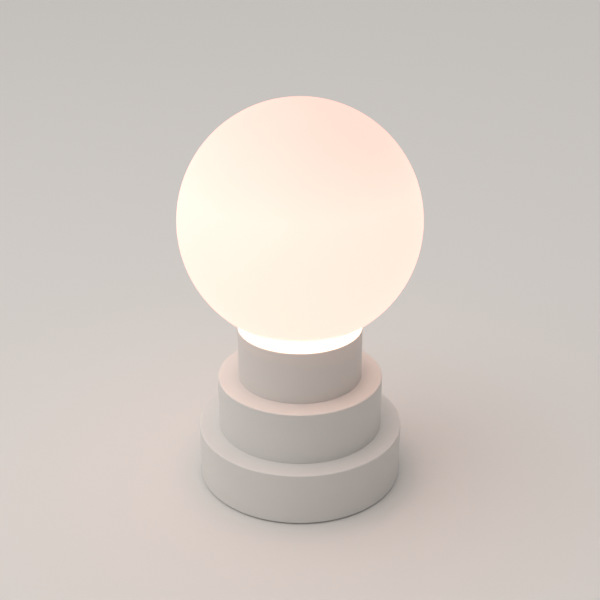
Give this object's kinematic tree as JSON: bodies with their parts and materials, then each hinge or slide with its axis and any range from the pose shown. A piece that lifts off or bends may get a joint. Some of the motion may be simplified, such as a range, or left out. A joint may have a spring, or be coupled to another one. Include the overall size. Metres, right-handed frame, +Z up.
{
  "type": "cordless table lamp",
  "caption": "Cordless table lamp: a glowing opal globe twists into a round stepped base with a rear power button and a covered charging socket.",
  "frame": {"origin": "on the table under the globe's centre, at the bottom of the foot pads", "axes": "+Z up through the globe, +Y towards the back with the button and the charging socket"},
  "size_m": [0.15, 0.15, 0.251],
  "materials": {
    "opal_globe": "satin opal, lit from inside",
    "white_powder_coat": "satin white powder coat",
    "coated_plate": "satin white powder coat",
    "white_plastic": "fine matt grain",
    "grey_silicone": "matt",
    "black_rubber": "matt",
    "zinc_steel": "zinc plated",
    "bare_aluminium": "machined",
    "clear_plastic": "polished",
    "board_white": "white solder mask",
    "board_green": "green solder mask",
    "led_phosphor": "phosphor",
    "black_plastic": "moulded",
    "switch_white": "moulded",
    "ferrite": "sintered",
    "nylon_white": "moulded",
    "nickel": "nickel plated",
    "cell_wrap": "satin film",
    "red_insulation": "satin",
    "black_insulation": "satin"
  },
  "bodies": {
    "base": {"top_tier": "white_powder_coat", "middle_tier": "white_powder_coat", "bottom_tier": "white_powder_coat", "base_plate": "coated_plate", "rear_panel": "white_plastic", "bayonet_ring": "white_plastic", "base_seal": "grey_silicone", "foot_pads": "black_rubber", "lead_grommet": "black_rubber", "bayonet_screws": "zinc_steel", "top_tier_screws": "zinc_steel", "middle_tier_screws": "zinc_steel", "base_screws": "zinc_steel", "ballast_screws": "zinc_steel", "heat_sink_screws": "zinc_steel", "led_board_screws": "zinc_steel", "rear_panel_screws": "zinc_steel", "circuit_board_screws": "zinc_steel", "ballast_block": "zinc_steel", "heat_sink": "bare_aluminium", "led_dome": "clear_plastic", "light_pipe": "clear_plastic", "led_board": "board_white", "circuit_board": "board_green", "led_chips": "led_phosphor", "indicator_led": "led_phosphor", "switch_body": "black_plastic", "socket_tongue": "black_plastic", "board_chips": "black_plastic", "cell_cradles": "black_plastic", "power_coil": "ferrite", "battery_header": "nylon_white", "battery_plug": "nylon_white", "led_header": "nylon_white", "led_plug": "nylon_white", "cell_tabs": "nickel", "charging_socket": "nickel", "battery_cells": "cell_wrap", "battery_positive_lead": "red_insulation", "led_positive_lead": "red_insulation", "cell_link_lead": "red_insulation", "battery_negative_lead": "black_insulation", "led_negative_lead": "black_insulation"},
    "globe": {"globe": "opal_globe", "globe_gasket": "grey_silicone"},
    "button": {"power_button": "white_plastic", "button_ring": "black_rubber", "switch_plunger": "switch_white"},
    "cover": {"port_cover": "white_plastic"}
  },
  "joints": [
    {"name": "globe_twist", "type": "hinge", "parent": "base", "child": "globe", "pos_m": [0, 0, 0.1015], "axis": [0, 0, 1], "range_deg": [0, 45]},
    {"name": "power_button_press", "type": "slide", "parent": "base", "child": "button", "axis": [0, -1, 0], "range_m": [0, 0.0008], "stiffness_N_per_m": 400, "springref_m": -0.003},
    {"name": "port_cover_swing", "type": "hinge", "parent": "base", "child": "cover", "pos_m": [0, 0.0654, 0.02355], "axis": [1, 0, 0], "range_deg": [0, 95]}
  ]
}
